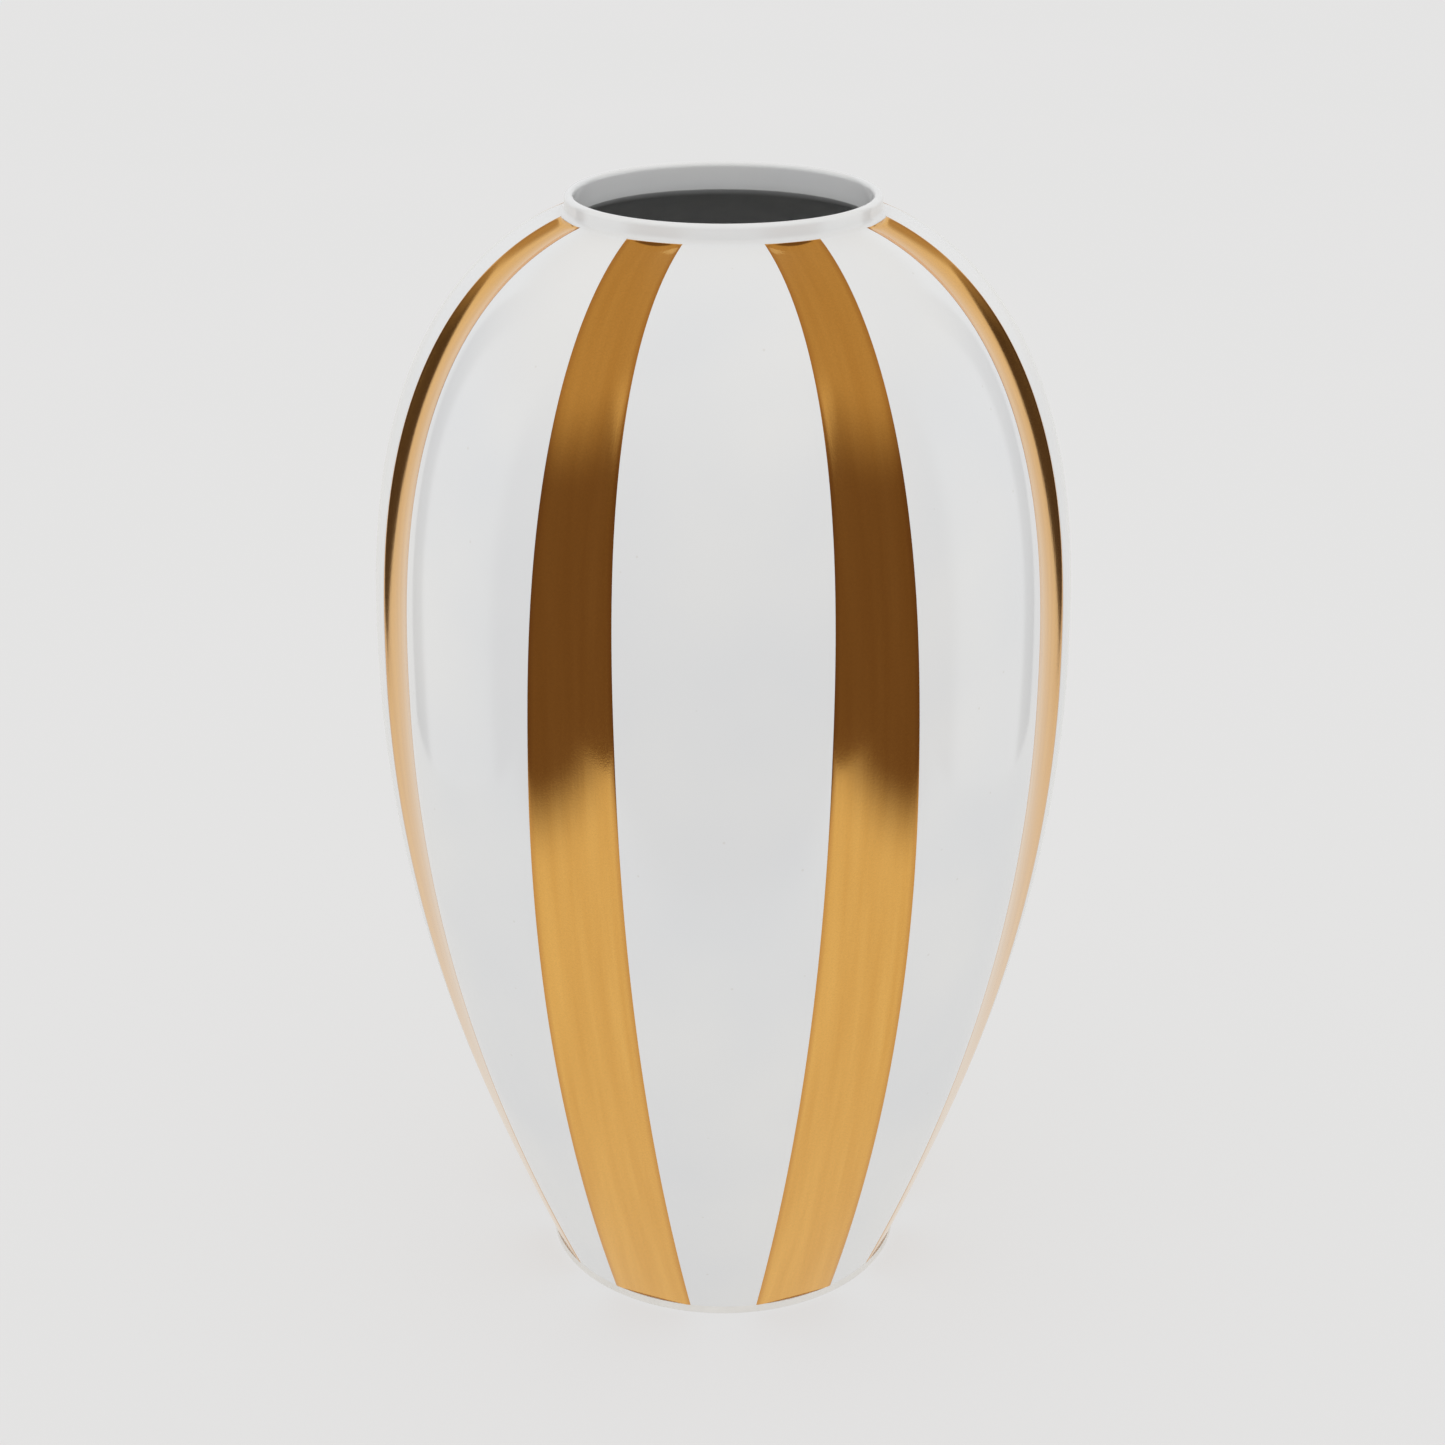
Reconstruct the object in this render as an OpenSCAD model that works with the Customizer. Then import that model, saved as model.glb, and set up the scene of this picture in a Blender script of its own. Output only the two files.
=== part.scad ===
// Fluted porcelain vase with a rolled collar and eight gilded flutes.
// Origin: centre of the foot, on the surface that the vase stands on. +Z is up and
// the front panel faces -Y.

/* [Overall] */
// Height from the table to the top of the rim
vase_h = 250; // [200:1:310]
// Diameter over the white panels at the widest level
belly_d = 152.6; // [125:0.2:190]
// Height of the widest level above the table
belly_z = 150; // [125:1:180]

/* [Foot] */
// Diameter of the foot ring
foot_d = 82; // [66:0.5:100]
// Height of the foot ring, below the glaze and the gilding
foot_h = 2; // [1.5:0.1:5]
// Width of the ring that the vase stands on
foot_ring_w = 8; // [5:0.5:12]
// Bevel on both edges of the standing face
foot_bevel = 0.4; // [0.2:0.1:0.8]

/* [Outline] */
// Length over which the side turns from upright to its taper; shorter bends sooner
side_bend = 240; // [120:5:400]
// Fullness of the shoulder where it leaves the belly
shoulder_start = 2.5; // [2:0.05:3]
// Fullness of the shoulder where it runs in to the collar
shoulder_end = 2.68; // [2:0.02:3.4]

/* [Collar] */
// Outer diameter of the collar
collar_d = 66.4; // [65:0.2:80]
// Clear diameter of the mouth
mouth_d = 62.4; // [50:0.2:64]
// Height of the collar above the shoulder
collar_h = 3.8; // [3:0.1:8]
// Largest rounding of the lip's edges; a collar thinner than two of them gets a full round
lip_round = 1.2; // [0.6:0.1:2]
// Radius of the hollow fillet at the foot of the collar
collar_fillet = 0.8; // [0.4:0.1:1.2]

/* [Panels and flutes] */
// Angle of the front panel, from flute centre to flute centre; the rest share what is left
front_angle = 48; // [40:0.5:54]
// How far a panel's edges lie below its middle at the widest level
panel_round = 1.2; // [0.4:0.1:2]
// Depth of a flute below its edges at the widest level
flute_depth = 1.4; // [0.6:0.1:2]
// Depth of a flute where it meets the collar
flute_depth_top = 1.1; // [0.4:0.1:1.4]
// Depth of a flute where it meets the foot
flute_depth_foot = 0.4; // [0.2:0.1:1]
// Width of a flute where it is widest
flute_w = 21; // [14:0.5:26]
// Height at which a flute is widest
flute_w_z = 81; // [50:1:140]
// Width of a flute where it meets the collar
flute_w_top = 12.2; // [8:0.2:15]

/* [Wall and coats] */
// Wall of the body behind the bottom of a flute
wall = 2.4; // [2:0.1:5]
// Thickness of the floor
floor_t = 5; // [3:0.5:10]
// Radius of the corner between the floor and the wall, inside
floor_r = 10; // [6:1:16]
// Thickness of the glaze, outside and inside
glaze_t = 0.25; // [0.2:0.05:0.4]
// Thickness of the gilding
gold_t = 0.15; // [0.1:0.05:0.3]

/* [Hidden] */
$fn = 96;

porcelain_white = [0.93, 0.92, 0.90];
glaze_white = [0.96, 0.96, 0.95];
bright_gold = [0.83, 0.62, 0.28];

// Number of flutes, and of the panels between them: one for each gold_band node
flutes = 8;

// Facets: levels up the side, and steps across one panel and across one flute
levels = 30;
panel_steps = 6;
flute_steps = 4;
// Levels in the round hollow inside
hollow_levels = 28;
// Step used to measure the slope of the outline
slope_step = 0.05;

belly_r = belly_d / 2;
foot_r = foot_d / 2;
collar_r = collar_d / 2;
mouth_r = mouth_d / 2;
// Where the collar's fillet runs out on the shoulder
seat_z = vase_h - collar_h;
seat_r = collar_r + collar_fillet;
// Level of the floor inside
hollow_z = foot_h + floor_t;

// ---- Outline: radius of the panels' middles at height z ----

// The shoulder is a squared ellipse that passes through the collar's seat
shoulder_rise = (seat_z - belly_z)
    / pow(1 - pow(seat_r / belly_r, shoulder_end), 1 / shoulder_start);
function shoulder_radius(z) =
    belly_r * pow(1 - pow((z - belly_z) / shoulder_rise, shoulder_start), 1 / shoulder_end);

// The side leaves the belly upright and settles to an even taper: the log of a
// hyperbolic cosine, scaled to reach the foot
function log_cosh(x) = ln((exp(x) + exp(-x)) / 2);
function side_radius(z) =
    belly_r - (belly_r - foot_r)
        * log_cosh((belly_z - z) / side_bend) / log_cosh((belly_z - foot_h) / side_bend);

function outline(z) = z > belly_z ? shoulder_radius(z) : side_radius(z);

// A thickness measured square to the outline, turned into a level distance
function slope(z) = let (above = min(z + slope_step, seat_z), below = z - slope_step)
    (outline(above) - outline(below)) / (above - below);
function level_t(t, z) = t * sqrt(1 + pow(slope(z), 2));

// ---- Section: eight round panels with a hollow flute between each pair ----

// 0 at the widest level, 1 at the foot and at the collar
function end_share(z) = z > belly_z
    ? (z - belly_z) / (seat_z - belly_z)
    : (belly_z - z) / (belly_z - foot_h);
function end_depth(z) = z > belly_z ? flute_depth_top : flute_depth_foot;
function depth(z) = flute_depth + (end_depth(z) - flute_depth) * pow(end_share(z), 2);
function panel_fall(z) = panel_round * (1 - pow(end_share(z), 2));

// Radius at a flute's edges, and half the angle that a flute takes
function edge_radius(z) = outline(z) - panel_fall(z);
function flute_width(z) =
    flute_w - (flute_w - flute_w_top) * pow((z - flute_w_z) / (seat_z - flute_w_z), 2);
function flute_half(z) = asin(flute_width(z) / 2 / edge_radius(z));

// Centre of flute i, counted from the front panel, and the angle to the next one
other_angle = (360 - front_angle) / (flutes - 1);
function flute_centre(i) = front_angle / 2 + i * other_angle;

// Radius across a panel at share s of its half width, and across a flute, whose upper
// end is a wall that stands under the collar's fillet
function panel_radius(z, s) = outline(z) - panel_fall(z) * pow(abs(s), 4);
function flute_radius(z, s) = max(seat_r, edge_radius(z) - level_t(depth(z), z) * (1 - s * s));

// Point at height z, at angle a from the front, with a coat of thickness t
function point(r, a, z, t) = let (q = r + level_t(t, z)) [q * sin(a), -q * cos(a), z];

// Heights of the levels: they close up towards the collar, where the outline turns most
function level_z(k) = foot_h + (seat_z - foot_h) * sin(90 * k / levels);

// One level of the outside: each flute, then the panel that follows it
function ring(z, t) = [
    for (i = [0:flutes - 1])
        let (c = flute_centre(i),
             next = i < flutes - 1 ? flute_centre(i + 1) : flute_centre(0) + 360,
             h = flute_half(z),
             mid = (c + next) / 2,
             wide = (next - c) / 2 - h)
            each concat(
                [for (k = [0:flute_steps - 1])
                    let (s = 2 * k / flute_steps - 1)
                        point(flute_radius(z, s), c + s * h, z, t)],
                [for (k = [0:panel_steps - 1])
                    let (s = 2 * k / panel_steps - 1)
                        point(panel_radius(z, s), mid + s * wide, z, t)])
];
ring_points = flutes * (flute_steps + panel_steps);

function flat(lists) = [for (list = lists) each list];

// Two faces across a four-sided cell: left and right points of its lower and upper edge.
// Neighbouring coats split their cells along the same diagonal, so they meet exactly.
function outward(ll, lr, ul, ur) = [[ll, ul, ur], [ll, ur, lr]];
function inward(ll, lr, ul, ur) = [[ll, ur, ul], [ll, lr, ur]];

// Faces between two closed loops of n points that start at points low and high
function outward_loop(low, high, n) = flat([for (k = [0:n - 1])
    let (m = (k + 1) % n) outward(low + k, low + m, high + k, high + m)]);
function inward_loop(low, high, n) = flat([for (k = [0:n - 1])
    let (m = (k + 1) % n) inward(low + k, low + m, high + k, high + m)]);

// ---- Shapes ----

// Solid with the vase's outside, drawn in by a thickness
module fluted_solid(t) {
    n = ring_points;
    foot_centre = (levels + 1) * n;
    seat_centre = foot_centre + 1;
    polyhedron(
        points = concat(
            flat([for (k = [0:levels]) ring(level_z(k), -t)]),
            [[0, 0, foot_h], [0, 0, seat_z]]),
        faces = concat(
            [for (k = [0:n - 1]) [foot_centre, k, (k + 1) % n]],
            flat([for (k = [0:levels - 1]) outward_loop(k * n, (k + 1) * n, n)]),
            [for (k = [0:n - 1]) [seat_centre, levels * n + (k + 1) % n, levels * n + k]]));
}

// Coat that follows the fluted outside, from its surface down to thickness t
module fluted_coat(t) {
    n = ring_points;
    under = (levels + 1) * n;
    polyhedron(
        points = concat(
            flat([for (k = [0:levels]) ring(level_z(k), 0)]),
            flat([for (k = [0:levels]) ring(level_z(k), -t)])),
        faces = concat(
            flat([for (k = [0:levels - 1]) outward_loop(k * n, (k + 1) * n, n)]),
            flat([for (k = [0:levels - 1]) inward_loop(under + k * n, under + (k + 1) * n, n)]),
            outward_loop(under, 0, n),
            outward_loop(levels * n, under + levels * n, n)));
}

// Clear radius of the round hollow: the wall and both glazes stand behind every flute, and
// under the collar, where the wall is its top, the hollow is as wide as the mouth
function hollow_radius(z) = z > seat_z - wall
    ? mouth_r
    : max(mouth_r, flute_radius(z, 0) - level_t(wall + 2 * glaze_t, z));
function hollow_level(k) =
    hollow_z + floor_r + (seat_z - hollow_z - floor_r) * sin(90 * k / hollow_levels);

// Half section of the hollow, grown outwards by t: floor, rounded corner, side and neck
function hollow_outline(t) =
    let (corner_x = hollow_radius(hollow_z + floor_r) - floor_r)
        concat(
            [[0, hollow_z - t]],
            [for (a = [0:15:75])
                [corner_x + (floor_r + t) * sin(a), hollow_z + floor_r - (floor_r + t) * cos(a)]],
            [for (k = [0:hollow_levels])
                [hollow_radius(hollow_level(k)) + t, hollow_level(k)]]);

// ---- Nodes ----

// The porcelain wall and floor, cast in one piece
module body() {
    color(porcelain_white)
        difference() {
            fluted_solid(glaze_t);
            rotate_extrude()
                polygon(concat(
                    hollow_outline(glaze_t),
                    [[mouth_r + glaze_t, vase_h], [0, vase_h]]));
        }
}

// The ring that the vase stands on, left bare
module foot_ring() {
    color(porcelain_white)
        rotate_extrude()
            polygon([
                [foot_r - foot_ring_w + foot_bevel, 0],
                [foot_r - foot_bevel, 0],
                [foot_r, foot_bevel],
                [foot_r, foot_h],
                [foot_r - foot_ring_w, foot_h],
                [foot_r - foot_ring_w, foot_bevel]]);
}

// Half section of the collar, drawn in by a thickness t: a short wall with a rounded lip,
// and a hollow fillet at its foot
module collar_section(t) {
    lip_r = min(lip_round, (collar_r - mouth_r) / 2);
    // Flat on top of a lip that is thicker than its two roundings
    flat_w = collar_r - mouth_r - 2 * lip_r;
    translate([mouth_r + t, seat_z])
        square([flat_w + 2 * (lip_r - t), collar_h - lip_r]);
    translate([mouth_r + lip_r, vase_h - lip_r])
        circle(r = lip_r - t);
    if (flat_w > 0) {
        translate([mouth_r + lip_r, seat_z])
            square([flat_w, collar_h - t]);
        translate([collar_r - lip_r, vase_h - lip_r])
            circle(r = lip_r - t);
    }
    difference() {
        translate([collar_r - lip_r, seat_z])
            square([lip_r + collar_fillet - t, collar_fillet]);
        translate([seat_r - t, seat_z + collar_fillet])
            circle(r = collar_fillet);
    }
}

// The rolled collar, joined to the shoulder with slip
module collar() {
    color(porcelain_white)
        rotate_extrude()
            collar_section(glaze_t);
}

// White glaze over the panels and flutes
module outer_glaze() {
    color(glaze_white)
        fluted_coat(glaze_t);
}

// The same glaze carried over the collar and into the mouth
module rim_glaze() {
    color(glaze_white)
        rotate_extrude()
            difference() {
                collar_section(0);
                collar_section(glaze_t);
            }
}

// White glaze that lines the hollow up to the collar
module inner_glaze() {
    face = hollow_outline(0);
    color(glaze_white)
        rotate_extrude()
            polygon(concat(
                hollow_outline(glaze_t),
                [for (k = [len(face) - 1:-1:0]) face[k]]));
}

// Points of the strip in flute i, raised off the glaze by t, level by level
function band_points(i, t) = [
    for (k = [0:levels])
        let (z = level_z(k))
            for (j = [0:flute_steps])
                let (s = 2 * j / flute_steps - 1)
                    point(flute_radius(z, s), flute_centre(i) + s * flute_half(z), z, t)
];

// Burnished gold laid in flute i, on the glaze
module gold_band(i) {
    n = flute_steps + 1;
    under = (levels + 1) * n;
    cells = [for (k = [0:levels - 1]) for (j = [0:flute_steps - 1]) k * n + j];
    // The strip's edge as one closed run of point numbers
    edge = concat(
        [for (j = [0:flute_steps]) j],
        [for (k = [1:levels]) k * n + flute_steps],
        [for (j = [flute_steps - 1:-1:0]) levels * n + j],
        [for (k = [levels - 1:-1:1]) k * n]);
    color(bright_gold)
        polyhedron(
            points = concat(band_points(i, gold_t), band_points(i, 0)),
            faces = concat(
                flat([for (a = cells) outward(a, a + 1, a + n, a + n + 1)]),
                flat([for (a = cells)
                    inward(under + a, under + a + 1, under + a + n, under + a + n + 1)]),
                flat([for (m = [0:len(edge) - 1])
                    let (a = edge[m], b = edge[(m + 1) % len(edge)])
                        outward(under + a, under + b, a, b)])));
}

body();
foot_ring();
collar();
outer_glaze();
rim_glaze();
inner_glaze();
gold_band(0);  // gold_band_1
gold_band(1);  // gold_band_2
gold_band(2);  // gold_band_3
gold_band(3);  // gold_band_4
gold_band(4);  // gold_band_5
gold_band(5);  // gold_band_6
gold_band(6);  // gold_band_7
gold_band(7);  // gold_band_8
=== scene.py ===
# %% [markdown]
# # A porcelain vase with gilded flutes
#
# The real vase is thin white porcelain, cast in a mould as an egg that stands on a narrow
# foot. Eight shallow flutes run from the collar to the foot. The whole vase is dipped in a
# clear glaze, and each flute is then painted with gold, fired again and burnished.
#
# The measured model is loaded first and is never changed. Its pieces are made of flat
# facets, which suits measuring and colliding, but gloss shows every facet. So each piece is
# made again here as a smooth surface of the same size, and stands in for the measured one.

import bmesh
import bpy
import numpy as np
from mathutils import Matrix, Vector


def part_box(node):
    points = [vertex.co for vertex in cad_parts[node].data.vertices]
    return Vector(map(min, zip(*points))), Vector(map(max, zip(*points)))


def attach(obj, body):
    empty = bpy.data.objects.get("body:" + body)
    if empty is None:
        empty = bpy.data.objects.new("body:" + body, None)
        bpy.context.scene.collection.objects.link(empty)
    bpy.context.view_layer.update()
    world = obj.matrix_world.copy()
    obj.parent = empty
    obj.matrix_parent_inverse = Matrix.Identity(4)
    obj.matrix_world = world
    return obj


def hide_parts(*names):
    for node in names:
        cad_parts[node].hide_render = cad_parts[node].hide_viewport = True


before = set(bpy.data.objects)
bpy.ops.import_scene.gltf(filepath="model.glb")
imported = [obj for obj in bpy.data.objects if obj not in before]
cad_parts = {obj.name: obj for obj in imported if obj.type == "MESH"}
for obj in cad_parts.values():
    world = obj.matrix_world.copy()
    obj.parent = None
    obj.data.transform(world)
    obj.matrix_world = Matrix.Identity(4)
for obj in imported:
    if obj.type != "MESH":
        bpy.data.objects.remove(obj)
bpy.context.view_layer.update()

print("nodes:", ", ".join(sorted(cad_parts)))

# %% [markdown]
# ## Sizes
#
# Heights and radii are read from the boxes of the measured pieces, so the vase stays its
# real size. A box can't say how a curve runs, so the numbers that shape the curves are named
# here, in metres.

# %% Sizes
mm = 0.001
glaze_t = 0.25 * mm

foot_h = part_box("foot_ring")[1].z
foot_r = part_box("foot_ring")[1].x
seat_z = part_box("outer_glaze")[1].z
seat_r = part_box("rim_glaze")[1].x
belly_r = -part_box("outer_glaze")[0].y
vase_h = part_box("rim_glaze")[1].z
hollow_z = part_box("inner_glaze")[0].z + glaze_t

belly_z = 150 * mm
side_bend = 240 * mm
shoulder_start = 2.5
shoulder_end = 2.68
print(f"height {vase_h / mm:.1f}, belly {2 * belly_r / mm:.1f}, foot {2 * foot_r / mm:.1f} mm")

# %% [markdown]
# ## The outline
#
# Seen from the side the vase is two curves that meet upright at the belly. The shoulder is a
# squared ellipse, which is fuller than a true one. The side below leaves the belly upright and
# grows straighter towards the foot, as the log of a hyperbolic cosine does. Drawing the curve
# by hand with a Bezier would also work, but a formula can be asked for any height.

# %% Outline
slope_step = 0.05 * mm
shoulder_rise = (seat_z - belly_z) / (
    1 - (seat_r / belly_r) ** shoulder_end) ** (1 / shoulder_start)


def log_cosh(x):
    """The log of the hyperbolic cosine: a bowl near 0 and a straight line far from it."""
    return np.log(np.cosh(x))


def outline(z):
    """Radius of the vase at the middle of a panel. Above the belly it is belly_r times
    (1 - (height above the belly / shoulder_rise) ^ shoulder_start) ^ (1 / shoulder_end).
    Below the belly it falls from belly_r to foot_r as log_cosh(depth / side_bend)."""
    up = np.clip((z - belly_z) / shoulder_rise, 0, 1)
    down = log_cosh((belly_z - z) / side_bend) / log_cosh((belly_z - foot_h) / side_bend)
    shoulder = belly_r * (1 - up ** shoulder_start) ** (1 / shoulder_end)
    side = belly_r - (belly_r - foot_r) * down
    return np.where(z > belly_z, shoulder, side)


def slope(z):
    """Change of the outline's radius for each metre of height, measured over a short step."""
    above = np.minimum(z + slope_step, seat_z)
    below = z - slope_step
    return (outline(above) - outline(below)) / (above - below)


def level(t, z):
    """Level distance that gives a thickness t square to the outline."""
    return t * np.sqrt(1 + slope(z) ** 2)


for z in (foot_h, belly_z, seat_z):
    print(f"radius at {z / mm:.0f} mm: {float(outline(z)) / mm:.1f} mm")

# %% [markdown]
# ## The section
#
# Cut level, the vase is a ring of eight slightly rounded panels with a shallow hollow flute
# between each pair. The front panel is a little wider than the rest. Both the rounding and
# the flutes fade towards the foot and the collar, where the section comes near to a circle.

# %% Section
flutes = 8
front_angle = np.radians(48)
panel_round = 1.2 * mm
flute_depth = 1.4 * mm
flute_depth_top = 1.1 * mm
flute_depth_foot = 0.4 * mm
flute_w = 21 * mm
flute_w_z = 81 * mm
flute_w_top = 12.2 * mm
scoop = 1.0 * mm

other_angle = (2 * np.pi - front_angle) / (flutes - 1)
flute_centres = front_angle / 2 + np.arange(flutes) * other_angle
panel_angles = np.append(np.full(flutes - 1, other_angle), front_angle)
panel_middles = flute_centres + panel_angles / 2


def end_share(z):
    """0 at the belly, and 1 at the foot and at the collar."""
    return np.where(z > belly_z, (z - belly_z) / (seat_z - belly_z),
                    (belly_z - z) / (belly_z - foot_h))


def depth(z):
    """Depth of a flute: full at the belly, and less by the square of the share to each end."""
    at_end = np.where(z > belly_z, flute_depth_top, flute_depth_foot)
    return flute_depth + (at_end - flute_depth) * end_share(z) ** 2


def panel_fall(z):
    """How far a panel's edge lies inside the outline."""
    return panel_round * (1 - end_share(z) ** 2)


def flute_half(z):
    """Half the angle that a flute takes: its width is a parabola, widest at flute_w_z."""
    width = flute_w - (flute_w - flute_w_top) * ((z - flute_w_z) / (seat_z - flute_w_z)) ** 2
    return np.arcsin(width / 2 / (outline(z) - panel_fall(z)))


def flute_radius(z, share):
    """Radius across a flute: a parabola from edge to edge. It never cuts into the collar: it
    stays above seat_r by a smooth maximum, (a + b + sqrt((a - b)^2 + scoop^2)) / 2, which
    scoops out the flute's upper end."""
    edge = outline(z) - panel_fall(z)
    valley = level(depth(z), z) * (1 - share ** 2)
    free = edge - valley
    scooped = (seat_r + free + np.sqrt((seat_r - free) ** 2 + scoop ** 2)) / 2
    return np.minimum(scooped, np.maximum(edge, seat_r))


def panel_radius(z, share):
    """Radius across a panel: flat in its middle, falling as the fourth power of the share."""
    return outline(z) - panel_fall(z) * share ** 4


print("flute centres:", np.round(np.degrees(flute_centres), 1))

# %% [markdown]
# ## The skin as a grid
#
# Every outer piece is cut from one grid: a row for each height and a column for each step
# round the vase. Steps close up at the edges of the flutes and near the collar, where the
# surface turns fastest. Molten glaze can't keep a sharp edge, so each point is averaged with
# its neighbours, which rounds the edges and leaves the rest almost as it was.

# %% Grid of the skin
flute_steps = 24
panel_steps = 28
columns = flute_steps + panel_steps
skin_steps = 150
melt_passes = 2

flute_share = -np.cos(np.linspace(0, np.pi, flute_steps, endpoint=False))
panel_share = -np.cos(np.linspace(0, np.pi, panel_steps, endpoint=False))


def heights(steps):
    """Heights from the foot to the collar, closing up upwards as a sine does."""
    return foot_h + (seat_z - foot_h) * np.sin(np.linspace(0, np.pi / 2, steps + 1))


def skin(z):
    """Angle and radius of the glazed surface: a row for each height in z, and a column for
    each step across flute 1, panel 1, flute 2 and so on round the vase."""
    row = z[:, None, None]
    half = flute_half(row)
    flute_angle = flute_centres[:, None] + flute_share * half
    panel_angle = panel_middles[:, None] + panel_share * (panel_angles[:, None] / 2 - half)
    flute_r = flute_radius(row, flute_share) + 0 * flute_angle
    panel_r = panel_radius(row, panel_share) + 0 * panel_angle
    angle = np.concatenate([flute_angle, panel_angle], axis=2).reshape(len(z), -1)
    radius = np.concatenate([flute_r, panel_r], axis=2).reshape(len(z), -1)
    for _ in range(melt_passes):
        radius = (np.roll(radius, 1, 1) + 2 * radius + np.roll(radius, -1, 1)) / 4
    return angle, radius


def place(angle, radius, z):
    """Points at an angle from the front, at a radius and a height: (r sin a, -r cos a, z)."""
    z = np.broadcast_to(np.asarray(z)[:, None], radius.shape)
    return np.stack([radius * np.sin(angle), -radius * np.cos(angle), z], axis=2)


skin_z = heights(skin_steps)
skin_angle, skin_radius = skin(skin_z)
print("skin grid:", skin_radius.shape)

# %% [markdown]
# ## From a grid to a mesh
#
# One helper turns any grid of points into a mesh, with from_pydata. The columns join up into a
# ring, and the rows join up when they run round a section. Rows that don't join end in a point
# on the axis, which is merged, or at the open end of a strip. Each mesh is then measured: a
# closed one has no open edge, and its volume is positive if its faces point outwards.

# %% Mesh from a grid
sharp_angle = np.radians(35)
merge_distance = 0.0001 * mm


def mesh_object(name, points, ring=True, loop=True, maps=()):
    """An object from points[row, column]: each cell is a face with its corners in order.
    ring joins the last column to the first, and loop the last row to the first. maps are
    pairs of a UV map's name and its values, one for each point."""
    rows, cols = points.shape[:2]
    index = np.arange(rows * cols).reshape(rows, cols)
    if ring:
        index = np.hstack([index, index[:, :1]])
    if loop:
        index = np.vstack([index, index[:1]])
    corners = [index[:-1, :-1], index[:-1, 1:], index[1:, 1:], index[1:, :-1]]
    faces = np.stack(corners, axis=2).reshape(-1, 4)
    mesh = bpy.data.meshes.new(name)
    mesh.from_pydata(points.reshape(-1, 3).tolist(), [], faces.tolist())
    for map_name, uv in maps:
        layer = mesh.uv_layers.new(name=map_name)
        layer.uv.foreach_set("vector", uv.reshape(-1, 2)[faces].astype(np.float32).ravel())
    shape = bmesh.new()
    shape.from_mesh(mesh)
    bmesh.ops.remove_doubles(shape, verts=shape.verts, dist=merge_distance)
    open_edges = sum(len(edge.link_faces) != 2 for edge in shape.edges)
    volume = shape.calc_volume(signed=True)
    shape.to_mesh(mesh)
    shape.free()
    mesh.shade_smooth()
    mesh.set_sharp_from_angle(angle=sharp_angle)
    made = bpy.data.objects.new(name, mesh)
    bpy.context.collection.objects.link(made)
    print(f"{name}: {len(mesh.polygons)} faces, {open_edges} open edges, "
          f"{volume / mm ** 3 / 1000:.2f} ml")
    return made


turn_steps = 192
turn_angle = np.linspace(0, 2 * np.pi, turn_steps, endpoint=False)


def turned(name, section, loop=True):
    """A section of (radius, height) points turned round the axis, as on a potter's wheel."""
    section = np.array(section)
    radius = np.repeat(section[:, :1], turn_steps, axis=1)
    return mesh_object(name, place(turn_angle, radius, section[:, 1]), loop=loop)


print(f"a turned piece has a step every {360 / turn_steps:.2f} degrees")

# %% [markdown]
# ## The glaze over the outside
#
# The glaze is a coat a quarter of a millimetre thick that follows the skin. Its outer side is
# the skin, and its inner side is the same skin drawn in, with fewer rows because nobody sees
# it. A Solidify modifier would do as well, but it makes as many rows inside as outside.

# %% Outer glaze
under_steps = 36


def coat_rows(z, thickness):
    """Angles and radii of the skin at heights z, drawn in square to the outline."""
    angle, radius = skin(z)
    return angle, radius - level(thickness, z)[:, None]


under_z = heights(under_steps)[::-1]
under_angle, under_radius = coat_rows(under_z, glaze_t)
outer_glaze = mesh_object("porcelain_glaze", np.vstack([
    place(skin_angle, skin_radius, skin_z),
    place(under_angle, under_radius, under_z)]))
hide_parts("outer_glaze")

# %% [markdown]
# ## The gold
#
# Liquid gold is brushed into each flute from edge to edge, fired, and rubbed bright. Its
# film is far thinner than it is drawn here. The film is cut from the skin's own columns, so
# it follows the flute exactly, and it thins to nothing at its border as a brushed film does.
# Its two ends are open where they meet the foot ring and the collar. The map called "along"
# holds metres across and along the strip, and the one called "edge" holds metres in from the
# nearer edge.

# %% Gold bands
gold_t = 0.1 * mm
gold_sink = 0.05 * mm
border_power = 16

strip_share = np.append(flute_share, 1.0)
strip_t = gold_t * np.sqrt(1 - strip_share ** border_power)
strip_middle = flute_steps // 2
rise = level(1.0, skin_z)[:, None]


def over_and_back(top, base):
    """Rows of a closed strip: over its top, then back along its base."""
    return np.concatenate([top, base[:, ::-1]], axis=1)


bands = []
for i in range(flutes):
    picked = np.arange(i * columns, i * columns + flute_steps + 1)
    angle = skin_angle[:, picked]
    radius = skin_radius[:, picked]
    top = place(angle, radius + rise * strip_t, skin_z)
    base = place(angle, radius - rise * gold_sink, skin_z)
    middle = top[:, strip_middle]
    across = np.linalg.norm(top - middle[:, None], axis=2) * np.sign(strip_share)
    step = np.linalg.norm(np.diff(middle, axis=0), axis=1)
    along = np.append(0, np.cumsum(step))[:, None] + 0 * across
    from_edge = across.max(axis=1, keepdims=True) - np.abs(across)
    strokes_map = np.stack([across, along], axis=2)
    edge_map = np.stack([from_edge, along], axis=2)
    band = mesh_object(
        f"gilding_{i + 1}", over_and_back(top, base), loop=False,
        maps=[("along", over_and_back(strokes_map, strokes_map)),
              ("edge", over_and_back(edge_map, edge_map))])
    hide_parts(f"gold_band_{i + 1}")
    bands.append(band)

# %% [markdown]
# ## The collar and its glaze
#
# The collar is a low ring with a round lip. Glaze runs over it, down into the neck and out to
# the shoulder in a small hollow curve. That curve has to leave the collar upright and meet
# the shoulder at the shoulder's own slope, or gloss shows a line there. The radius that does
# both follows from the angle between the two.

# %% Collar section
collar_r = 33.2 * mm
mouth_r = 31.2 * mm
fillet_steps = 12
lip_steps = 24
neck_rows = 8
lip_r = (collar_r - mouth_r) / 2
lip_z = vase_h - lip_r

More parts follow.
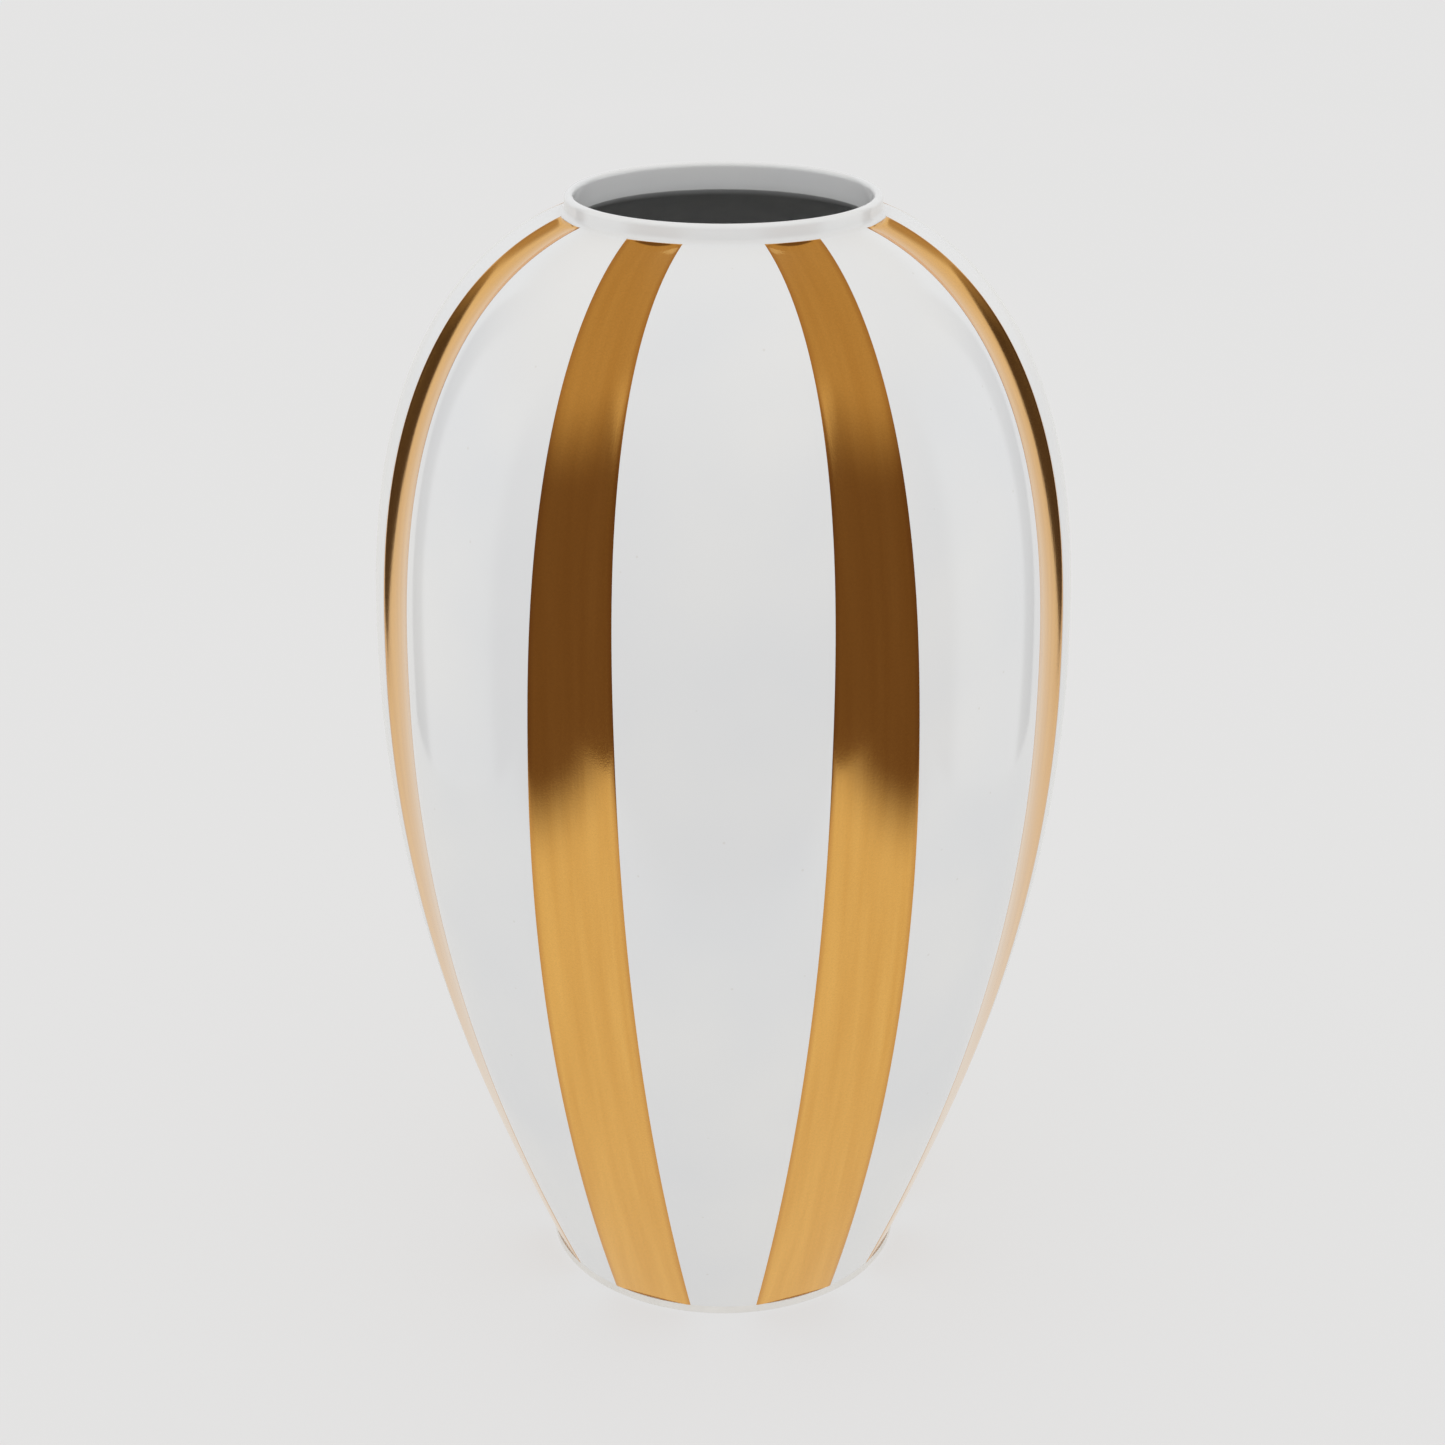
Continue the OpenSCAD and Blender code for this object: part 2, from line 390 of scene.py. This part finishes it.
# The shoulder's angle below level where it reaches the collar
shoulder_dip = np.arctan(-1 / slope(np.array(seat_z)))
bend = np.pi / 2 - shoulder_dip
tangent = (seat_r - collar_r) / np.cos(shoulder_dip)
fillet_r = tangent / np.tan(bend / 2)
fillet_z = seat_z + (seat_r - collar_r) * np.tan(shoulder_dip) + tangent


def arc(centre, radius, start, end, steps):
    """Points on an arc in the (radius, height) plane, from one angle to another."""
    a = np.linspace(start, end, steps + 1)
    return np.stack([centre[0] + radius * np.cos(a), centre[1] + radius * np.sin(a)], axis=1)


def collar_line(t):
    """The collar's outline from the shoulder over the lip to the neck, drawn in by t."""
    fillet = arc((collar_r + fillet_r, fillet_z), fillet_r + t, np.pi + bend, np.pi,
                 fillet_steps)
    lip = arc((mouth_r + lip_r, lip_z), lip_r - t, 0, np.pi, lip_steps)
    neck_z = np.linspace(lip_z, seat_z, neck_rows)[1:]
    neck = np.stack([np.full_like(neck_z, mouth_r + t), neck_z], axis=1)
    line = np.vstack([fillet, lip, neck])
    line[:, 1] = np.maximum(line[:, 1], seat_z)
    return line


rim = turned("rim_glaze_coat", np.vstack([collar_line(0), collar_line(glaze_t)[::-1]]))
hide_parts("rim_glaze")

collar = turned("porcelain_collar", collar_line(glaze_t))
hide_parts("collar")
print(f"fillet radius {fillet_r / mm:.2f} mm, shoulder dips {np.degrees(shoulder_dip):.0f} deg")

# %% [markdown]
# ## The hollow and its lining
#
# The hollow is round, because slip is poured out of a vase and leaves a smooth inside. It
# follows the bottoms of the flutes at the wall's thickness. The white glaze lines it too. It
# looks dark through the mouth because little light gets in, and its glaze colour is greyed
# as painted shade as well.

# %% Lining
wall = 2.4 * mm
corner_r = 10 * mm
hollow_rows = 60
corner_steps = 12
floor_rows = 6


def hollow_line(t):
    """The hollow's outline from the middle of the floor up to the neck, grown by t."""
    corner_z = hollow_z + corner_r
    z = corner_z + (seat_z - corner_z) * np.sin(np.linspace(0, np.pi / 2, hollow_rows))
    clear = flute_radius(z, 0) - level(wall + 2 * glaze_t, z)
    side = np.stack([np.maximum(mouth_r, clear) + t, z], axis=1)
    corner = arc((side[0, 0] - corner_r - t, corner_z), corner_r + t, -np.pi / 2, 0,
                 corner_steps)
    floor_r = np.linspace(0, corner[0, 0], floor_rows)[:-1]
    floor = np.stack([floor_r, np.full_like(floor_r, hollow_z - t)], axis=1)
    return np.vstack([floor, corner[:-1], side])


lining = turned("white_lining_coat", np.vstack([hollow_line(glaze_t), hollow_line(0)[::-1]]),
                loop=False)
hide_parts("inner_glaze")

# %% [markdown]
# ## The porcelain body
#
# The body is what is left between the lining and the outer glaze. Only its underside shows. A
# Boolean could cut the hollow out of a solid egg, but the sides are known as formulas, so its
# rows just run up the outside, over the top and down the inside.

# %% Body
body_steps = 60
body_z = heights(body_steps)
body_angle, body_radius = coat_rows(body_z, glaze_t)
inside = hollow_line(glaze_t)[::-1]
inside_angle = np.repeat(body_angle[-1:], len(inside), axis=0)
inside_radius = np.repeat(inside[:, :1], body_angle.shape[1], axis=1)
body = mesh_object("porcelain_body", np.vstack([
    place(body_angle[:1], 0 * body_radius[:1], body_z[:1]),
    place(body_angle, body_radius, body_z),
    place(inside_angle, inside_radius, inside[:, 1])]), loop=False)
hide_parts("body")

# %% [markdown]
# ## The foot ring
#
# The vase stands on a narrow ring that is wiped clean before firing. A potter rounds its edges
# with a sponge, so they are arcs here. With it the last piece is made, and every piece rides on
# the one body of the measured model.

# %% Foot ring
foot_ring_w = 8 * mm
foot_bevel = 0.4 * mm
bevel_steps = 6
ring_in = foot_r - foot_ring_w
foot_ring = turned("bare_foot_ring", np.vstack([
    [[ring_in, foot_h]],
    arc((ring_in + foot_bevel, foot_bevel), foot_bevel, np.pi, 1.5 * np.pi, bevel_steps),
    arc((foot_r - foot_bevel, foot_bevel), foot_bevel, -0.5 * np.pi, 0, bevel_steps),
    [[foot_r, foot_h]]]))
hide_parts("foot_ring")

pieces = [outer_glaze, rim, lining, body, collar, foot_ring] + bands
for piece in pieces:
    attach(piece, "root")

# %% [markdown]
# ## Building a material
#
# A material here is a small graph of nodes. One helper adds a node, sets its values and
# links it, so that each finish below reads as a list of what it is made of. Colours are
# written as they would be picked on screen and turned into the linear values that light is
# worked out with.

# %% Material helpers
def linear(colour):
    """An sRGB colour such as "#f4f2ee" as linear red, green, blue and alpha."""
    share = np.array([int(colour[i:i + 2], 16) for i in (1, 3, 5)]) / 255
    made = np.where(share <= 0.04045, share / 12.92, ((share + 0.055) / 1.055) ** 2.4)
    return (*made.tolist(), 1.0)


def add(tree, kind, inputs=(), **settings):
    """Adds a node of a kind. settings are the node's own, and inputs are pairs of a socket's
    name or number with its value or with the socket that feeds it."""
    made = tree.nodes.new(kind)
    for name, value in settings.items():
        setattr(made, name, value)
    for name, value in dict(inputs).items():
        if isinstance(value, bpy.types.NodeSocket):
            tree.links.new(value, made.inputs[name])
        else:
            made.inputs[name].default_value = value
    return made


def new_material(name):
    """A material that has no nodes yet, and its node tree."""
    material = bpy.data.materials.new(name)
    material.use_nodes = True
    material.node_tree.nodes.clear()
    return material, material.node_tree


def finish_material(material, tree, shader, pieces):
    """Links the shader to a new output node and gives the material to the pieces."""
    add(tree, "ShaderNodeOutputMaterial", {"Surface": shader.outputs[0]})
    for piece in pieces:
        piece.data.materials.clear()
        piece.data.materials.append(material)
    print(f"{material.name}: {len(tree.nodes)} nodes on {len(pieces)} pieces")


print(f"an sRGB half is {linear('#808080')[0]:.2f} of the light")

# %% [markdown]
# ## White porcelain under a clear glaze
#
# Hard porcelain is white with a trace of grey. It lets a little light in before it scatters
# back, but so little that a plain base colour shows it well. The glaze on it is a glass, so its
# index is that of glass, 1.5, and its gloss is high but not a mirror's: a fired glaze keeps a
# waviness as wide as a thumb, and here and there a pinhole or a fleck of iron.

# %% Glazed porcelain
glaze, tree = new_material("clear glazed porcelain")
where = add(tree, "ShaderNodeTexCoord").outputs["Object"]
cloud = add(tree, "ShaderNodeTexNoise", {"Vector": where, "Scale": 1 / (45 * mm),
                                         "Detail": 2.0})
tint = add(tree, "ShaderNodeValToRGB", {"Fac": cloud.outputs["Fac"]})
tint.color_ramp.elements[0].position = 0.35
tint.color_ramp.elements[0].color = linear("#e4e5e6")
tint.color_ramp.elements[1].position = 0.65
tint.color_ramp.elements[1].color = linear("#e9e9e8")
fleck = add(tree, "ShaderNodeTexVoronoi", {"Vector": where, "Scale": 1 / (7 * mm)})
fleck_size = add(tree, "ShaderNodeMapRange", {
    "Value": fleck.outputs["Distance"], "From Min": 0.03, "From Max": 0.05,
    "To Min": 0.35, "To Max": 0.0})
colour = add(tree, "ShaderNodeMix", {
    "Factor": fleck_size.outputs["Result"], "A": tint.outputs["Color"],
    "B": linear("#cfcbc4")}, data_type="RGBA")
waves = add(tree, "ShaderNodeTexNoise", {"Vector": where, "Scale": 1 / (16 * mm),
                                         "Detail": 1.0})
pits = add(tree, "ShaderNodeTexNoise", {"Vector": where, "Scale": 1 / (1.5 * mm),
                                        "Detail": 2.0})
gloss = add(tree, "ShaderNodeMapRange", {"Value": cloud.outputs["Fac"],
                                         "To Min": 0.07, "To Max": 0.12})
wavy = add(tree, "ShaderNodeBump", {"Height": waves.outputs["Fac"], "Strength": 1.0,
                                    "Distance": 0.05 * mm})
bumps = add(tree, "ShaderNodeBump", {"Height": pits.outputs["Fac"], "Strength": 1.0,
                                     "Distance": 0.002 * mm,
                                     "Normal": wavy.outputs["Normal"]})
shader = add(tree, "ShaderNodeBsdfPrincipled", {
    "Base Color": colour.outputs["Result"], "Roughness": gloss.outputs["Result"],
    "IOR": 1.5, "Normal": bumps.outputs["Normal"]})
finish_material(glaze, tree, shader, [outer_glaze, rim])

# %% [markdown]
# ## The same glaze inside
#
# The hollow is glazed by pouring glaze in and out again, which leaves soft runs down the wall.
# Its colour is greyer than the glaze outside as painted shade, so the deep hollow looks dark
# through the mouth, and the runs make the grey wander. Over the 5 mm below the seat the
# painted shade fades out to the white of the neck.

# %% Lining
inner, tree = new_material("glaze inside greyed as painted shade")
where = add(tree, "ShaderNodeTexCoord").outputs["Object"]
run_place = add(tree, "ShaderNodeMapping", {
    "Vector": where, "Scale": (1 / (9 * mm), 1 / (9 * mm), 1 / (60 * mm))})
runs = add(tree, "ShaderNodeTexNoise", {"Vector": run_place.outputs["Vector"],
                                        "Scale": 1.0, "Detail": 3.0})
# Painted shade: both greys are darker than the outside glaze, and the runs pick between them at
# random.
painted_shade_greys = add(tree, "ShaderNodeValToRGB", {"Fac": runs.outputs["Fac"]})
painted_shade_greys.color_ramp.elements[0].position = 0.3
painted_shade_greys.color_ramp.elements[0].color = linear("#c8c9c9")
painted_shade_greys.color_ramp.elements[1].position = 0.7
painted_shade_greys.color_ramp.elements[1].color = linear("#d0d0cf")
up = add(tree, "ShaderNodeSeparateXYZ", {"Vector": where}).outputs["Z"]
# The painted shade fades to the white of the neck over the 5 mm below the seat.
painted_shade_fade = add(tree, "ShaderNodeMapRange", {
    "Value": up, "From Min": seat_z - 5 * mm, "From Max": seat_z},
    interpolation_type="SMOOTHSTEP")
colour = add(tree, "ShaderNodeMix", {
    "Factor": painted_shade_fade.outputs["Result"], "A": painted_shade_greys.outputs["Color"],
    "B": linear("#e6e7e7")}, data_type="RGBA")
gloss = add(tree, "ShaderNodeMapRange", {"Value": runs.outputs["Fac"],
                                         "To Min": 0.1, "To Max": 0.2})
ripple = add(tree, "ShaderNodeBump", {"Height": runs.outputs["Fac"], "Strength": 1.0,
                                      "Distance": 0.1 * mm})
shader = add(tree, "ShaderNodeBsdfPrincipled", {
    "Base Color": colour.outputs["Result"], "Roughness": gloss.outputs["Result"],
    "IOR": 1.5, "Normal": ripple.outputs["Normal"]})
finish_material(inner, tree, shader, [lining])

# %% [markdown]
# ## Burnished gold
#
# Burnishing gold comes out of the kiln matt and is rubbed with agate or fine sand along the
# strip. That leaves soft strokes a few millimetres wide that run with the strip, and a fine
# grain, which is drawn coarser than it is so that it shows. Its hue wanders a little from
# stroke to stroke. Within 1.5 mm of both edges it is painted darker and browner, as painted
# shade along the flute's edges. The glassy flux in the gold gives it a faint clear coat as
# well, which only shows where the gold is seen edge on.

# %% Gold
gold, tree = new_material("burnished gold on glaze")
along = add(tree, "ShaderNodeUVMap", uv_map="along").outputs["UV"]
strokes_per_metre = (1 / (3 * mm), 1 / (60 * mm), 1.0)
stroke_place = add(tree, "ShaderNodeMapping", {"Vector": along, "Scale": strokes_per_metre})
strokes = add(tree, "ShaderNodeTexNoise", {"Vector": stroke_place.outputs["Vector"],
                                           "Scale": 1.0, "Detail": 3.0})
grain = add(tree, "ShaderNodeTexNoise", {
    "Vector": add(tree, "ShaderNodeTexCoord").outputs["Object"],
    "Scale": 1 / (0.35 * mm), "Detail": 2.0})
tone = add(tree, "ShaderNodeValToRGB", {"Fac": strokes.outputs["Fac"]})
tone.color_ramp.elements[0].position = 0.3
tone.color_ramp.elements[0].color = linear("#f0b45a")
tone.color_ramp.elements[1].position = 0.7
tone.color_ramp.elements[1].color = linear("#fbc166")
speckle = add(tree, "ShaderNodeMapRange", {"Value": grain.outputs["Fac"],
                                           "From Min": 0.3, "From Max": 0.7,
                                           "To Min": 0.92, "To Max": 1.0})
edge_uv = add(tree, "ShaderNodeUVMap", uv_map="edge").outputs["UV"]
from_edge = add(tree, "ShaderNodeSeparateXYZ", {"Vector": edge_uv}).outputs["X"]
# Painted shade: the gold turns darker and browner within 1.5 mm of both edges.
painted_edge_shade = add(tree, "ShaderNodeMapRange", {
    "Value": from_edge, "From Min": 0.1 * mm, "From Max": 1.5 * mm, "To Min": 0.45,
    "To Max": 0.0}, interpolation_type="SMOOTHSTEP")
with_edge_shade = add(tree, "ShaderNodeMix", {
    "Factor": painted_edge_shade.outputs["Result"], "A": tone.outputs["Color"],
    "B": linear("#c98743")}, data_type="RGBA")
grained = add(tree, "ShaderNodeVectorMath", {
    0: with_edge_shade.outputs["Result"], "Scale": speckle.outputs["Result"]}, operation="SCALE")
rough = add(tree, "ShaderNodeMapRange", {"Value": grain.outputs["Fac"],
                                         "To Min": 0.06, "To Max": 0.13})
stroke_bump = add(tree, "ShaderNodeBump", {"Height": strokes.outputs["Fac"],
                                           "Strength": 1.0, "Distance": 0.02 * mm})
grain_bump = add(tree, "ShaderNodeBump", {"Height": grain.outputs["Fac"], "Strength": 1.0,
                                          "Distance": 0.004 * mm,
                                          "Normal": stroke_bump.outputs["Normal"]})
shader = add(tree, "ShaderNodeBsdfPrincipled", {
    "Base Color": grained.outputs["Vector"], "Metallic": 1.0,
    "Roughness": rough.outputs["Result"], "Normal": grain_bump.outputs["Normal"],
    "Coat Weight": 0.25, "Coat Roughness": 0.08})
finish_material(gold, tree, shader, bands)

# %% [markdown]
# ## Bare porcelain
#
# The foot ring is wiped clean of glaze, or it would stick to the kiln shelf. Bare porcelain
# is smooth but dull, like an eggshell. Its grain is very fine, and is drawn coarser than it is
# so that it shows.

# %% Bare porcelain
bisque, tree = new_material("bare fired porcelain")
where = add(tree, "ShaderNodeTexCoord").outputs["Object"]
cloud = add(tree, "ShaderNodeTexNoise", {"Vector": where, "Scale": 1 / (6 * mm),
                                         "Detail": 3.0})
whites = add(tree, "ShaderNodeValToRGB", {"Fac": cloud.outputs["Fac"]})
whites.color_ramp.elements[0].color = linear("#dedbd5")
whites.color_ramp.elements[1].color = linear("#eceae6")
sand = add(tree, "ShaderNodeTexNoise", {"Vector": where, "Scale": 1 / (0.4 * mm),
                                        "Detail": 2.0})
rough = add(tree, "ShaderNodeMapRange", {"Value": sand.outputs["Fac"],
                                         "To Min": 0.65, "To Max": 0.85})
tooth = add(tree, "ShaderNodeBump", {"Height": sand.outputs["Fac"], "Strength": 1.0,
                                     "Distance": 0.02 * mm})
shader = add(tree, "ShaderNodeBsdfPrincipled", {
    "Base Color": whites.outputs["Color"], "Roughness": rough.outputs["Result"],
    "IOR": 1.5, "Normal": tooth.outputs["Normal"]})
finish_material(bisque, tree, shader, [body, collar, foot_ring])

# %% [markdown]
# ## The table
#
# The floor is white acrylic lit from below, as in a studio for products, so the vase hardly
# shades it. Gold shows its surroundings, and a floor without end would make all of it bright.
# So gloss doesn't see the floor. It sees a table instead, which lies in the same place and
# casts no shadow on it. The table's front edge fades into a dark room just in front of the
# vase, so low down the gold is bright and higher up it is brown. Behind the vase the table
# widens out to the backdrop.

# %% Floor and table
floor_reach = 4000 * mm
table_front = -295 * mm
table_full = -185 * mm
table_side = 325 * mm
table_wide_from = 200 * mm
backdrop_half = np.radians(48)
room_front = linear("#715e50")


def flat_sheet(name, outline):
    """A flat sheet on the ground with the given corners (x, y)."""
    mesh = bpy.data.meshes.new(name)
    mesh.from_pydata([(x, y, 0) for x, y in outline], [], [list(range(len(outline)))])
    sheet = bpy.data.objects.new(name, mesh)
    bpy.context.collection.objects.link(sheet)
    return sheet


floor = flat_sheet("floor", [
    (-floor_reach, -floor_reach), (floor_reach, -floor_reach),
    (floor_reach, floor_reach), (-floor_reach, floor_reach)])
floor.visible_glossy = False

wide_x = table_side + (floor_reach - table_wide_from) * np.tan(backdrop_half)
right_side = [(table_side, table_front), (table_side, table_wide_from),
              (wide_x, floor_reach)]
table = flat_sheet("table", right_side + [(-x, y) for x, y in reversed(right_side)])
table.visible_camera = False
table.visible_diffuse = False
table.visible_shadow = False
print(f"the table is {2 * table_side / mm:.0f} mm wide beside the vase")

# %% [markdown]
# ## Lit acrylic and the table's paint
#
# Lit acrylic glows evenly, with a very faint mottle from the lamps under it, about 300 mm
# across. The table only glows, because only gloss sees it.

# %% Acrylic and table paint
acrylic, tree = new_material("white acrylic lit from below")
where = add(tree, "ShaderNodeTexCoord").outputs["Object"]
cloud = add(tree, "ShaderNodeTexNoise", {"Vector": where, "Scale": 1 / (333 * mm),
                                         "Detail": 2.0})
glow = add(tree, "ShaderNodeValToRGB", {"Fac": cloud.outputs["Fac"]})
glow.color_ramp.elements[0].color = linear("#cfcfce")
glow.color_ramp.elements[1].color = linear("#d1d0d0")
shader = add(tree, "ShaderNodeBsdfPrincipled", {
    "Base Color": linear("#6c6c6c"), "Roughness": 1.0, "Specular IOR Level": 0.0,
    "Emission Color": glow.outputs["Color"], "Emission Strength": 1.0})
finish_material(acrylic, tree, shader, [floor])

table_paint, tree = new_material("table with a soft front edge")
where = add(tree, "ShaderNodeTexCoord").outputs["Object"]
depth_in = add(tree, "ShaderNodeSeparateXYZ", {"Vector": where}).outputs["Y"]
fade = add(tree, "ShaderNodeMapRange", {
    "Value": depth_in, "From Min": table_front, "From Max": table_full},
    interpolation_type="SMOOTHSTEP")
glow = add(tree, "ShaderNodeMix", {"Factor": fade.outputs["Result"], "A": room_front,
                                   "B": linear("#e2e1de")}, data_type="RGBA")
shader = add(tree, "ShaderNodeEmission", {"Color": glow.outputs["Result"]})
finish_material(table_paint, tree, shader, [table])

# %% [markdown]
# ## The backdrop
#
# A world is a colour for each direction, so lights and walls can be painted straight into it.
# The backdrop stands behind the vase. It is as wide as the table's far end, and fades out at
# its sides and its top. Directions are measured as a turn sideways from straight behind the
# vase, and as the upward part of a direction one metre long.

# %% Backdrop
backdrop_fade = 0.03
backdrop_full_to = 0.47
backdrop_ends_at = 0.62

world = bpy.data.worlds.new("studio")
bpy.context.scene.world = world
world.use_nodes = True
tree = world.node_tree
tree.nodes.clear()
aim = add(tree, "ShaderNodeSeparateXYZ", {
    "Vector": add(tree, "ShaderNodeTexCoord").outputs["Generated"]})
sideways = add(tree, "ShaderNodeMath", {0: aim.outputs["X"]}, operation="ABSOLUTE")
turn = add(tree, "ShaderNodeMath", {0: sideways.outputs["Value"], 1: aim.outputs["Y"]},
           operation="ARCTAN2")
behind = add(tree, "ShaderNodeMapRange", {
    "Value": turn.outputs["Value"], "From Min": backdrop_half + backdrop_fade,
    "From Max": backdrop_half - backdrop_fade}, interpolation_type="SMOOTHSTEP")
low_down = add(tree, "ShaderNodeMapRange", {
    "Value": aim.outputs["Z"], "From Min": backdrop_ends_at, "From Max": backdrop_full_to},
    interpolation_type="SMOOTHSTEP")
backdrop = add(tree, "ShaderNodeMath", {
    0: behind.outputs["Result"], 1: low_down.outputs["Result"]}, operation="MULTIPLY")
print(f"backdrop: {2 * np.degrees(backdrop_half):.0f} degrees wide, "
      f"{np.degrees(np.arcsin(backdrop_full_to)):.0f} degrees high")

# %% [markdown]
# ## The soft boxes and the room
#
# A tall soft box stands on each side of the vase and gives the side panels a broad soft shine.
# The rest of the room is dark and brown, darker behind than in front, and the gold mirrors it
# between the pale parts. The ceiling is warm and brightens upwards.

# %% Soft boxes and room
box_front_edge = np.radians((112, 100))
box_back_edge = np.radians((60, 66))
ceiling_starts = 0.22
ceiling_full = 0.68
walls_darken = (0.1, 0.5)

box_front = add(tree, "ShaderNodeMapRange", {
    "Value": turn.outputs["Value"], "From Min": box_front_edge[0],
    "From Max": box_front_edge[1]}, interpolation_type="SMOOTHSTEP")
box_back = add(tree, "ShaderNodeMapRange", {
    "Value": turn.outputs["Value"], "From Min": box_back_edge[0],
    "From Max": box_back_edge[1]}, interpolation_type="SMOOTHSTEP")
box = add(tree, "ShaderNodeMath", {
    0: box_front.outputs["Result"], 1: box_back.outputs["Result"]}, operation="MULTIPLY")
above = add(tree, "ShaderNodeMapRange", {
    "Value": aim.outputs["Z"], "From Min": ceiling_starts, "From Max": ceiling_full},
    interpolation_type="SMOOTHSTEP")
backwards = add(tree, "ShaderNodeMapRange", {
    "Value": aim.outputs["Y"], "From Min": walls_darken[0], "From Max": walls_darken[1]})
walls = add(tree, "ShaderNodeMix", {
    "Factor": backwards.outputs["Result"], "A": room_front,
    "B": linear("#50453c")}, data_type="RGBA")
sides = add(tree, "ShaderNodeMix", {
    "Factor": box.outputs["Value"], "A": walls.outputs["Result"],
    "B": linear("#f3f3f3")}, data_type="RGBA")
room = add(tree, "ShaderNodeMix", {
    "Factor": above.outputs["Result"], "A": sides.outputs["Result"],
    "B": linear("#b8a891")}, data_type="RGBA")
mirrored = add(tree, "ShaderNodeMix", {
    "Factor": backdrop.outputs["Value"], "A": room.outputs["Result"],
    "B": linear("#e5e5e5")}, data_type="RGBA")
print(f"soft boxes: from {np.degrees(box_back_edge[0]):.0f} to "
      f"{np.degrees(box_front_edge[0]):.0f} degrees on each side")

# %% [markdown]
# ## What each kind of ray sees
#
# The Light Path node tells what kind of ray asks for the colour. Gloss gets the room above.
# Matt surfaces get an even white light from all round, as from big diffusers. Past the floor's
# end the camera sees the same pale grey as the floor.

# %% Light for each ray
ray = add(tree, "ShaderNodeLightPath")
fill = add(tree, "ShaderNodeMix", {
    "Factor": ray.outputs["Is Glossy Ray"], "A": linear("#ffffff"),
    "B": mirrored.outputs["Result"]}, data_type="RGBA")
seen = add(tree, "ShaderNodeMix", {
    "Factor": ray.outputs["Is Camera Ray"], "A": fill.outputs["Result"],
    "B": linear("#e3e3e2")}, data_type="RGBA")
sky = add(tree, "ShaderNodeBackground", {"Color": seen.outputs["Result"], "Strength": 1.0})
add(tree, "ShaderNodeOutputWorld", {"Surface": sky.outputs["Background"]})
print("studio world:", len(tree.nodes), "nodes")

# %% [markdown]
# ## The camera
#
# The camera looks down on the vase from a little more than half a metre away. Its lens is a
# short telephoto one, as used for a portrait of an object.

# %% Camera
camera_at = (-0.0002, -0.5471, 0.3595)
camera_dip = np.radians(22.73)
camera_data = bpy.data.cameras.new("camera")
camera_data.lens = 65.6
camera_data.sensor_width = 36.0
camera_data.clip_start = 50 * mm
camera = bpy.data.objects.new("camera", camera_data)
camera.location = camera_at
camera.rotation_euler = (np.pi / 2 - camera_dip, 0, 0)
bpy.context.collection.objects.link(camera)
bpy.context.scene.camera = camera
bpy.context.scene.view_settings.view_transform = "Standard"
print(f"camera: {camera_data.lens:.1f} mm lens, {np.degrees(camera_dip):.1f} degrees down")
